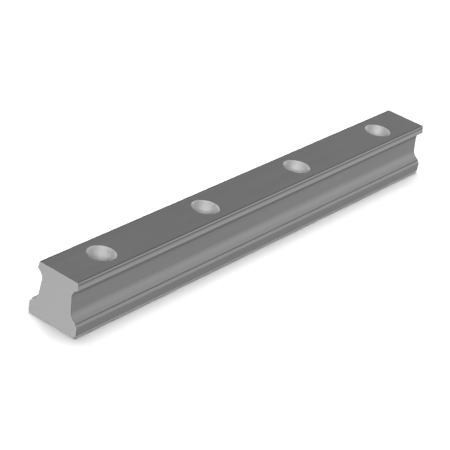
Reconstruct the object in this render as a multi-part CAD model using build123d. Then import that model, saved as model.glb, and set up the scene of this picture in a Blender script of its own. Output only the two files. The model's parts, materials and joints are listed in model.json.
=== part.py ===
"""Linear guide rail: one bar of ground steel, with two ball tracks along each flank
and a row of counterbored screw holes down the middle of its top.

Sizes are in millimetres. +X runs along the rail, +Y across it and +Z up. The origin
is the middle of the underside, where the rail is bolted to its machine bed.
"""
from build123d import *
import os

# The bar
rail_length = 225.0
rail_height = 22.0
foot_width = 23.0
end_chamfer = 0.1

# The head, whose heights are measured down from the top face
top_width = 18.2
bevel_width = 0.3
bevel_drop = 0.85
upper_track_radius = 3.2
nose_width = 19.6
nose_drop = 2.6
nose_thickness = 0.45
lower_track_radius = 3.9
waist_width = 14.4
waist_drop = 6.55

# The web and the foot, whose heights are measured up from the underside
web_foot_width = 16.1
web_foot_height = 7.7
hollow_radius = 4.0
shelf_width = 21.35
shelf_height = 6.1
shelf_edge_thickness = 0.65
foot_side_height = 4.75
foot_corner_radius = 1.4

# The screw holes
hole_pitch = 60.0
least_end_distance = 20.0
screw_hole_diameter = 7.0
counterbore_diameter = 11.0
counterbore_depth = 9.0
rim_chamfer = 0.2

hole_count = int((rail_length - 2 * least_end_distance) // hole_pitch) + 1


def half_outline():
    """Draws the flank on the +Y side, from the middle of the top to the middle of the underside."""
    top_edge = (top_width / 2, rail_height)
    bevel_foot = (top_width / 2 + bevel_width, rail_height - bevel_drop)
    nose_top = (nose_width / 2, rail_height - nose_drop)
    nose_tip = (nose_width / 2, rail_height - nose_drop - nose_thickness)
    waist = (waist_width / 2, rail_height - waist_drop)
    web_foot = (web_foot_width / 2, web_foot_height)
    shelf_edge = (shelf_width / 2, shelf_height)
    shelf_edge_foot = (shelf_width / 2, shelf_height - shelf_edge_thickness)
    foot_side_top = (foot_width / 2, foot_side_height)
    foot_corner = (foot_width / 2, 0)

    Polyline((0, rail_height), top_edge, bevel_foot)
    RadiusArc(bevel_foot, nose_top, -upper_track_radius)
    Line(nose_top, nose_tip)
    RadiusArc(nose_tip, waist, -lower_track_radius)
    FilletPolyline(waist, web_foot, shelf_edge, radius=hollow_radius)
    Polyline(shelf_edge, shelf_edge_foot, foot_side_top)
    FilletPolyline(foot_side_top, foot_corner, (0, 0), radius=foot_corner_radius)


def rail_bar():
    """The ground bar before drilling, with each end face chamfered all round."""
    with BuildPart() as bar:
        with BuildSketch(Plane.YZ):
            with BuildLine():
                half_outline()
                mirror(about=Plane.YZ)
            make_face()
        extrude(amount=rail_length / 2 - end_chamfer, both=True)
        for end_face in bar.faces().filter_by(Axis.X):
            extrude(end_face, amount=end_chamfer, taper=45)
    return bar.part


def screw_hole():
    """The space that one screw takes: its shank, its head and the broken edge at the rim."""
    shank = Cylinder(screw_hole_diameter / 2, rail_height)
    head = Cylinder(counterbore_diameter / 2, counterbore_depth)
    rim = Cone(
        bottom_radius=counterbore_diameter / 2,
        top_radius=counterbore_diameter / 2 + rim_chamfer,
        height=rim_chamfer,
    )
    return (
        Pos(0, 0, rail_height / 2) * shank
        + Pos(0, 0, rail_height - counterbore_depth / 2) * head
        + Pos(0, 0, rail_height - rim_chamfer / 2) * rim
    )


def guide_rail():
    """The bar, drilled along its middle with as many holes as fit, centred on its length."""
    hole_row = GridLocations(hole_pitch, 0, hole_count, 1)
    rail = rail_bar()
    for place in hole_row:
        rail = rail - place * screw_hole()
    rail.label = "guide_rail"
    return rail


os.makedirs("parts", exist_ok=True)
export_step(guide_rail(), "parts/guide_rail.step")
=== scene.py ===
# %% [markdown]
# A linear guide rail, dressed for its picture.
#
# The real object is one bar of ground steel, about 22 mm tall. It has ball tracks along both
# flanks and a row of counterbored screw holes along its top. Its shape was made at real size
# in a CAD step and comes in ready. What is left for this lesson is the picture: a camera that
# stands where the photographer's did, a pale floor, soft light, and a steel that looks ground,
# bored or cut in the places where the real bar was, with some light and shade painted in.

# %% The tools and the finished bar
import json
import math

import bmesh
import bpy
from mathutils import Matrix, Quaternion, Vector


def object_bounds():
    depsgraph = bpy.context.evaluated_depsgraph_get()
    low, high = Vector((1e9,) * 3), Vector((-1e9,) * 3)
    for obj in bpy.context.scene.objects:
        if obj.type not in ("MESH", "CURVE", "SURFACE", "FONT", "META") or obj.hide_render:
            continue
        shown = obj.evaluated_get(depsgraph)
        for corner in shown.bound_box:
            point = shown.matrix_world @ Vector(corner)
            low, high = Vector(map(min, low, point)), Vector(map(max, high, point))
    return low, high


mm = 0.001

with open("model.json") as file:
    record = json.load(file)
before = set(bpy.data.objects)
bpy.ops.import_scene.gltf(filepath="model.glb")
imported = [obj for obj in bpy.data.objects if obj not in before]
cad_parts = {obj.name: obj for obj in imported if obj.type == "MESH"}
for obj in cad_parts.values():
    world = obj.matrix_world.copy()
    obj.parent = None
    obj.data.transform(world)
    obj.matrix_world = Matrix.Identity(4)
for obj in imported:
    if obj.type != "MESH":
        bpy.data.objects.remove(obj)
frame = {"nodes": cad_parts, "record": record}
cad_low, cad_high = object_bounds()
rail = frame["nodes"]["guide_rail"]
rail_length, foot_width, rail_height = cad_high - cad_low
print(f"bar of {rail_length / mm:.1f} x {foot_width / mm:.1f} x {rail_height / mm:.1f} mm")

# %% [markdown]
# The camera comes first, because every choice of light and finish is judged through it. The
# photograph looks down on the near end of the bar from the left, through a long lens about
# 0.7 m away, and it is tipped by 11 degrees, so that the bar leans.
#
# A camera in Blender looks along its own -Z. Turning it to face a point fixes everything but
# its roll, so the roll is one more turn about the same line of sight. The lens and the film
# are in millimetres, as on a real camera, and all else is in metres. A lamp is set up in the
# same way as a camera, so the helper serves both.

# %% Camera
camera_place = Vector((-0.5441, -0.3440, 0.3429))
camera_aim = Vector((-0.0071, 0.0046, 0.0045))
camera_roll = math.radians(10.94)
camera_lens = 146.3
film_width = 36.0
nearest_seen = 0.01
farthest_seen = 20.0

origin = Vector((0.0, 0.0, 0.0))
line_of_sight = (0.0, 0.0, 1.0)


def set_up(name, data, place, aim=origin, roll=0.0):
    """Stands a camera or a lamp at place, turned to face aim and then rolled."""
    thing = bpy.data.objects.new(name, data)
    bpy.context.scene.collection.objects.link(thing)
    facing = (aim - place).to_track_quat("-Z", "Y")
    turn = facing @ Quaternion(line_of_sight, roll)
    thing.matrix_world = Matrix.Translation(place) @ turn.to_matrix().to_4x4()
    return thing


camera_data = bpy.data.cameras.new("camera")
camera_data.lens = camera_lens
camera_data.sensor_width = film_width
camera_data.clip_start = nearest_seen
camera_data.clip_end = farthest_seen
camera = set_up("camera", camera_data, camera_place, camera_aim, camera_roll)
bpy.context.scene.camera = camera
print(f"camera {(camera_aim - camera_place).length:.3f} m from the point that it faces")

# %% [markdown]
# The bar lies on plain white. One big square is enough for a floor, far larger than the view,
# so that its edges never show. Its paint is matt, because a glossy one would mirror the bar.
#
# White paper under real steel would whiten the whole flank. A photographer keeps that off
# with black cards. Here the floor is simply hidden from the rays that steel sends out, and
# the flank keeps its own grey. The floor also lets lamplight through from below, so that a
# weak panel can stand in for its glow, at a strength that suits the picture.

# %% Floor
floor_side = 6.0
floor_paint = (0.86, 0.86, 0.86, 1.0)
fully_matt = 1.0
no_gloss = 0.0

square = bmesh.new()
bmesh.ops.create_grid(square, x_segments=1, y_segments=1, size=floor_side / 2)
floor_mesh = bpy.data.meshes.new("floor")
square.to_mesh(floor_mesh)
square.free()
floor = bpy.data.objects.new("floor", floor_mesh)
bpy.context.scene.collection.objects.link(floor)

floor_material = bpy.data.materials.new("pale_floor")
floor_material.use_nodes = True
floor_shader = floor_material.node_tree.nodes["Principled BSDF"]
floor_shader.inputs["Base Color"].default_value = floor_paint
floor_shader.inputs["Roughness"].default_value = fully_matt
floor_shader.inputs["Specular IOR Level"].default_value = no_gloss
floor_mesh.materials.append(floor_material)
floor.visible_glossy = False
floor.visible_shadow = False
print(f"floor of {floor_side:.0f} m")

# %% [markdown]
# The light is soft and comes from panels. Steel is bright only where it mirrors something
# bright, so a panel far behind the camera does most of the work: what faces the camera
# shines, and what turns away goes dark. The others are weak, and each has one face to lift:
# low on the right for the flank, higher on the right for the hollow above the foot, and
# behind for the side that the camera doesn't see. The bounce panel lies under the floor, and
# lights the cut end and the rounded corners of the foot from below.
#
# Steel and floor each have their own panels. Whether a lamp reaches matt or glossy
# surfaces is a switch on the lamp. The floor's one is wide and hangs overhead, a little
# behind the bar, so that a soft shadow runs along the foot on the side of the camera and
# fades within the bar's own height. That shadow is what makes the bar sit on its floor.

# %% Light
def panel(name, place, side, watts, on_floor=True, on_steel=True):
    """A square soft light at place, facing the bar."""
    light = bpy.data.lights.new(name, "AREA")
    light.shape = "SQUARE"
    light.size = side
    light.energy = watts
    lamp = set_up(name, light, Vector(place))
    lamp.visible_diffuse = on_floor
    lamp.visible_glossy = on_steel
    print(f"{name}: {watts} W over {side} m")


times_as_far = 6.0
behind_camera = camera_place * times_as_far
panel("camera_panel", place=behind_camera, side=1.4, watts=210.0, on_floor=False)
panel("right_panel", place=(2.0, -1.5, 0.4), side=1.0, watts=13.5, on_floor=False)
panel("hollow_panel", place=(2.2, -1.0, 1.5), side=1.0, watts=12.0, on_floor=False)
panel("rear_panel", place=(-0.8, 2.3, 0.6), side=1.0, watts=18.0, on_floor=False)
panel("bounce_panel", place=(-1.2, 0.0, -1.0), side=1.6, watts=13.0, on_floor=False)
panel("ceiling_panel", place=(0.52, 0.68, 3.0), side=2.5, watts=178.0, on_steel=False)

# %% [markdown]
# Between the lamps a real studio isn't black. A faint and even glow stands for its walls, so
# that no face of the steel is left with nothing to mirror.
#
# The Standard view shows each grey as it was lit. The view that Blender starts with is made
# for strong contrasts, and it would dull a white floor.

# %% Room
room_glow = 0.06
white = (1.0, 1.0, 1.0, 1.0)

world = bpy.data.worlds.new("studio")
world.use_nodes = True
background = world.node_tree.nodes["Background"]
background.inputs["Color"].default_value = white
background.inputs["Strength"].default_value = room_glow
bpy.context.scene.world = world
bpy.context.scene.view_settings.view_transform = "Standard"
print(f"room glow of {room_glow}")

# %% [markdown]
# A rail is drawn to shape, hardened and then ground. The grinding wheel runs along the bar, so
# its long faces are covered in fine lines that run from end to end. The ends are cut with a
# thin abrasive disc, and the screw holes are bored. Each leaves marks of its own.
#
# All these finishes are one metal, so one material carries them all. It starts as plain satin
# steel: fully metallic, mid grey, and rough enough to blur what it mirrors into a soft glow.
# Its grey and its roughness are what the next cells vary. Three helpers keep those cells
# short: add makes a node, fill sets one socket, and calculate does one step of arithmetic.

# %% Plain steel
steel_grey = 0.43
steel_roughness = 0.76
fully_metallic = 1.0

steel = bpy.data.materials.new("ground_steel")
steel.use_nodes = True
tree = steel.node_tree
shader = tree.nodes["Principled BSDF"]
shader.inputs["Metallic"].default_value = fully_metallic
rail.data.materials[0] = steel


def fill(socket, value):
    """Links value to the socket if it is an output, or else sets it as a plain value."""
    if isinstance(value, bpy.types.NodeSocket):
        tree.links.new(value, socket)
    else:
        socket.default_value = value


def add(kind, **feeds):
    """Adds a node and fills the sockets that are named, with _ for a space."""
    node = tree.nodes.new(kind)
    for socket, value in feeds.items():
        fill(node.inputs[socket.replace("_", " ")], value)
    return node


def calculate(operation, *values):
    """One step of arithmetic, as a Math node."""
    step = tree.nodes.new("ShaderNodeMath")
    step.operation = operation
    for socket, value in zip(step.inputs, values):
        fill(socket, value)
    return step.outputs["Value"]


print(f"steel of grey {steel_grey} and roughness {steel_roughness}")

# %% [markdown]
# Where does each finish lie? It could be painted by hand as masks, but the shape already
# knows the answer. Object coordinates give the place of a point in metres, so a sum or two
# tells whether it lies in a hole. The holes come first, since nothing else is bored.
#
# A bored point is nearer to a hole's axis than the counterbore's radius. The four holes are
# one row with one pitch, so wrapping the length at that pitch turns four tests into one. The
# pitch and the radius are read from the record, where the mounts are. A margin of 0.3 mm
# round the hole takes in its broken edge, and one of 0.1 mm keeps out the top and underside.
#
# Each test gives a mask of 0 and 1, and masks are joined by multiplying them. The helper
# chain does that for any number of them, and later adds up the tones in the same way.

# %% Where the bar is bored
def chain(operation, first, *others):
    """The same step of arithmetic over several values, one after another."""
    result = first
    for other in others:
        result = calculate(operation, result, other)
    return result


def distance(one_way, other_way):
    """How far away a point is that lies so far one way and so far the other."""
    one_square = calculate("MULTIPLY", one_way, one_way)
    other_square = calculate("MULTIPLY", other_way, other_way)
    return calculate("SQRT", calculate("ADD", one_square, other_square))


bores = [mount for mount in frame["record"]["mounts"] if mount["name"].startswith("counterbore")]
first_hole, second_hole = sorted(bore["pos_m"][0] for bore in bores)[:2]
hole_pitch = second_hole - first_hole
bore_radius = bores[0]["dims"]["r_mm"] * mm
hole_margin = 0.0003
face_margin = 0.0001

whereabouts = add("ShaderNodeTexCoord")
position = whereabouts.outputs["Object"]
along, across, up = add("ShaderNodeSeparateXYZ", Vector=position).outputs
from_first = calculate("SUBTRACT", along, first_hole)
from_hole = calculate("WRAP", from_first, hole_pitch / 2, -hole_pitch / 2)
from_axis = distance(from_hole, across)

near_axis = calculate("LESS_THAN", from_axis, bore_radius + hole_margin)
below_top = calculate("LESS_THAN", up, rail_height - face_margin)
above_underside = calculate("GREATER_THAN", up, face_margin)
is_bored = chain("MULTIPLY", near_axis, below_top, above_underside)
not_bored = calculate("SUBTRACT", 1.0, is_bored)
print(f"{len(bores)} holes, {hole_pitch / mm:.0f} mm apart")

# %% [markdown]
# The object normal gives the way a face looks. How squarely it looks along the bar runs from
# 0 to 1. Near 1 it is a cut end, near 0 it is a long face, and in between it is the small
# bevel that rims an end.
#
# Two places on the long faces matter. The head is about the top three millimetres of each
# flank, down to the lower edge of its nose. It guides the balls, so it is ground a second
# time, with a finer wheel than the web and the foot; its grey also gets painted light.
# The rounded lower corner of the foot gets a painted reflection: a light grey that stands
# in for the white floor, which the steel is kept from mirroring.

# %% Ends, head and foot corner
squarely = 0.9
hardly = 0.3
downwards = -0.2
head_depth = 0.0031
foot_corner_height = 0.0014

looks = add("ShaderNodeSeparateXYZ", Vector=whereabouts.outputs["Normal"])
looks_along = calculate("ABSOLUTE", looks.outputs["X"])
looks_endwise = calculate("GREATER_THAN", looks_along, squarely)
looks_sideways = calculate("LESS_THAN", looks_along, hardly)
looks_down = calculate("LESS_THAN", looks.outputs["Z"], downwards)
is_end = chain("MULTIPLY", looks_endwise, not_bored)
is_long_face = chain("MULTIPLY", looks_sideways, not_bored)

above_web = calculate("GREATER_THAN", up, rail_height - head_depth)
in_corner = calculate("LESS_THAN", up, foot_corner_height)
# The head's grey is lifted later: finer grinding, plus painted light.
is_head = chain("MULTIPLY", above_web, below_top, is_long_face)
# Painted reflection: this corner gets a light grey in place of the floor's reflection.
gets_painted_reflection = chain("MULTIPLY", in_corner, looks_down, is_long_face)
print(f"a head of {head_depth / mm:.1f} mm and a foot corner of {foot_corner_height / mm:.1f} mm")

# %% [markdown]
# Grinding lines are scratches a quarter of a millimetre apart and some centimetres long. A
# photograph of them would repeat, and it would smear where a face turns away. Noise doesn't:
# drawn out along the bar to many times its width, it becomes lines that follow every face.
#
# Two layers are mixed. The fine one is the grit of the wheel. The broad one is the slight
# wander of its passes, a millimetre or two wide, and it is the one that shows from afar.

# %% Grinding lines
def noise(where, detail, scale=1.0, roughness=0.5):
    """Cloudy noise from 0 to 1, read at where. Detail is how many finer layers it adds."""
    cloud = add("ShaderNodeTexNoise", Vector=where, Scale=scale, Detail=detail, Roughness=roughness)
    return cloud.outputs["Fac"]


def streaks(spacing, length):
    """Noise drawn out along the bar, in lines a spacing apart."""
    stretch = add("ShaderNodeMapping", Vector=position, Scale=(1 / length, 1 / spacing, 1 / spacing))
    return noise(stretch.outputs["Vector"], detail=2.0)


def blend(share, first, second):
    """The first where share is 0, the second where it is 1, and a mixture in between."""
    return add("ShaderNodeMix", Factor=share, A=first, B=second).outputs["Result"]


fine_spacing = 0.00025
fine_length = 0.050
broad_spacing = 0.0016
broad_length = 0.120
broad_share = 0.45

fine_lines = streaks(fine_spacing, fine_length)
broad_lines = streaks(broad_spacing, broad_length)
ground = blend(broad_share, fine_lines, broad_lines)
print(f"grinding lines {fine_spacing / mm:.2f} mm and {broad_spacing / mm:.1f} mm apart")

# %% [markdown]
# The cutting disc sweeps each end in one stroke and leaves nearly straight scratches. They run
# across the face at a slant, because the disc is swung down through the bar.
#
# The same drawn-out noise does for them, turned about the bar's length by a Mapping node. The
# turn comes before the stretch, so it is a node of its own: one Mapping node stretches first.

# %% Marks of the cutting disc
disc_slant = math.radians(24)
disc_spacing = 0.00035
disc_sweep = 0.030

slant = add("ShaderNodeMapping", Vector=position, Rotation=(disc_slant, 0.0, 0.0))
sweep = add(
    "ShaderNodeMapping",
    Vector=slant.outputs["Vector"],
    Scale=(1.0, 1 / disc_sweep, 1 / disc_spacing),
)
cut_marks = noise(sweep.outputs["Vector"], detail=4.0)
print(f"disc marks {disc_spacing / mm:.2f} mm apart, at {math.degrees(disc_slant):.0f} degrees")

# %% [markdown]
# A boring tool turns as it feeds in, so it leaves rings: round the wall, one above the other,
# and on the seat of the screw head, one inside the other. Both kinds come from one noise, if
# it is read by distance from the axis and by height instead of by place. Along a ring both
# stay the same, and so does the noise.

# %% Rings in the bores
ring_spacing = 0.0002

ring_place = add(
    "ShaderNodeCombineXYZ",
    X=calculate("DIVIDE", from_axis, ring_spacing),
    Z=calculate("DIVIDE", up, ring_spacing),
)
rings = noise(ring_place.outputs["Vector"], detail=2.0)
print(f"rings {ring_spacing / mm:.1f} mm apart")

# %% [markdown]
# One pattern is left after the masks have chosen: disc marks on the ends, rings in the bores
# and lines along the bar elsewhere. A mask is 0 or 1, so a Mix node with the mask as its
# factor picks one side or the other.

# %% One pattern from three
ground_or_cut = blend(is_end, ground, cut_marks)
marks = blend(is_bored, ground_or_cut, rings)
print(f"{len(tree.nodes)} nodes so far")

# %% [markdown]
# Under the marks lies something slower. Oil, fingers and storage leave steel a little duller
# in one place than in another, in patches of a few centimetres with soft edges. The eye
# hardly sees them, but without them a bar this plain looks printed.
#
# Plain noise at that size is enough. It is kept weak, since the real bar is clean.

# %% Handling
patch_size = 0.035

patches = noise(position, detail=3.0, scale=1 / patch_size, roughness=0.6)
print(f"soft patches of {patch_size / mm:.0f} mm")

# %% [markdown]
# Edges get painted shade. Thin dark lines stand in for the shade along edges and creases:
# one just inside each long edge of the top, one under the bevel and one down the edge of the
# foot's shelf. The one under the bevel is darkest, as it lies in a crease where shade falls.
# The sharp rim of each cut end was taken off by hand with a stone, so it is rough and dull,
# where a polished one would flash white, and its grey is painted darker as painted shade.
#
# A line along the bar is a single point in its cross-section, given here as its distance from
# the middle and its height. The distance from that point draws the line, and a Map Range node
# fades it out. The rim is what is left when the long faces, the ends and the bores are gone.

# %% Painted shade lines and rims
shade_line_reach = 0.0004
faint = -0.17
dark = -0.27
inside_top_edge = (0.0088, rail_height)
under_bevel = (0.0094, 0.02115)
down_shelf_edge = (0.01068, 0.0058)
# Painted shade: dark lines along edges and creases.
shade_lines = ((inside_top_edge, faint), (under_bevel, dark), (down_shelf_edge, faint))

from_middle = calculate("ABSOLUTE", across)


def shade_line(point):
    """1 on the line through this point of the section, fading to 0 at the reach."""
    half_width, height = point
    aside = calculate("SUBTRACT", from_middle, half_width)
    above = calculate("SUBTRACT", up, height)
    ramp = add(
        "ShaderNodeMapRange",
        Value=distance(aside, above),
        From_Max=shade_line_reach,
        To_Min=1.0,
        To_Max=0.0,
    )
    return ramp.outputs["Result"]


# Each line darkens the grey as painted shade.
shades = [calculate("MULTIPLY", shade_line(point), shade) for point, shade in shade_lines]
painted_shade_lines = calculate("MULTIPLY", chain("ADD", *shades), is_long_face)

# The rims are rougher, and their grey is painted darker as painted shade.
looks_aslant = calculate("GREATER_THAN", looks_along, hardly)
is_end_or_rim = calculate("MULTIPLY", looks_aslant, not_bored)
is_rim = calculate("SUBTRACT", is_end_or_rim, is_end)
print(f"{len(shade_lines)} hairlines a flank, {2 * shade_line_reach / mm:.1f} mm wide")

# %% [markdown]
# Now the sums. The tone starts at the plain grey and moves a few percent with the marks and
# the patches. Noise runs from 0 to 1 about a middle of 0.5, so half is taken off first, and
# a change of the weights then never shifts the mean.
#
# The masks then add their own share, much of it painted light. The bores were cut by an
# edged tool, so their walls are lighter metal, and they are painted lighter still for the
# light they catch. The cut ends show fresh metal and the head is finely ground, and both get
# some painted light as well. The foot's rounded corner is lightest, a painted reflection of
# the floor, and shade lines and stoned rims get painted shade. Each number below says how
# far its pattern or its mask moves the tone.

# %% Tone
noise_middle = 0.5


def sway(pattern, weight):
    """The pattern swung about zero and scaled to the weight."""
    return calculate("MULTIPLY", calculate("SUBTRACT", pattern, noise_middle), weight)


def inside(mask, change):
    """The change inside the mask, and 0 outside it."""
    return calculate("MULTIPLY", mask, change)


mark_tone = 0.10
patch_tone = 0.02
# Bore walls: lighter bored metal, plus painted light for the light they catch.
bore_metal_and_light = 0.33
# Cut ends: fresh metal, plus painted light in place of a lamp on the end.
end_metal_and_light = 0.095
# Head: finer grinding, plus painted light for its outward-facing faces.
head_grind_and_light = 0.06
# Foot corner: a painted reflection of the white floor.
painted_floor_reflection = 0.50
# Rims: painted shade that keeps the lamps from lighting them.
painted_rim_shade = -0.24

tone = chain(
    "ADD",
    steel_grey,
    sway(marks, mark_tone),
    sway(patches, patch_tone),
    inside(is_bored, bore_metal_and_light),
    inside(is_end, end_metal_and_light),
    inside(is_head, head_grind_and_light),
    inside(gets_painted_reflection, painted_floor_reflection),
    painted_shade_lines,
    inside(is_rim, painted_rim_shade),
)
paint = add("ShaderNodeCombineColor", Red=tone, Green=tone, Blue=tone)
fill(shader.inputs["Base Color"], paint.outputs["Color"])
print(f"tone about {steel_grey}")

# %% [markdown]
# The roughness is summed in the same way, from the same pattern, so that a mark shows by its
# shine as well as by its grey. A bored wall is a touch smoother than a ground face, and a
# stoned rim is rougher.

# %% Roughness
mark_roughness = 0.14
patch_roughness = 0.03
bore_roughness = -0.04
rim_roughness = 0.15

roughness = chain(
    "ADD",
    steel_roughness,
    sway(marks, mark_roughness),
    sway(patches, patch_roughness),
    inside(is_bored, bore_roughness),
    inside(is_rim, rim_roughness),
)
fill(shader.inputs["Roughness"], roughness)
print(f"roughness about {steel_roughness}")

# %% [markdown]
# Last, the relief. The scratches are less than a hundredth of a millimetre deep, far too fine
# to model, but they tilt the face enough to catch the light. A Bump node turns the same
# pattern into that tilt, so that each line's shade and its relief fall in the same place.

# %% Relief of the marks
mark_depth = 0.000008

relief = add("ShaderNodeBump", Strength=1.0, Distance=mark_depth, Height=marks)
fill(shader.inputs["Normal"], relief.outputs["Normal"])
print(f"relief {mark_depth / mm:.3f} mm deep")
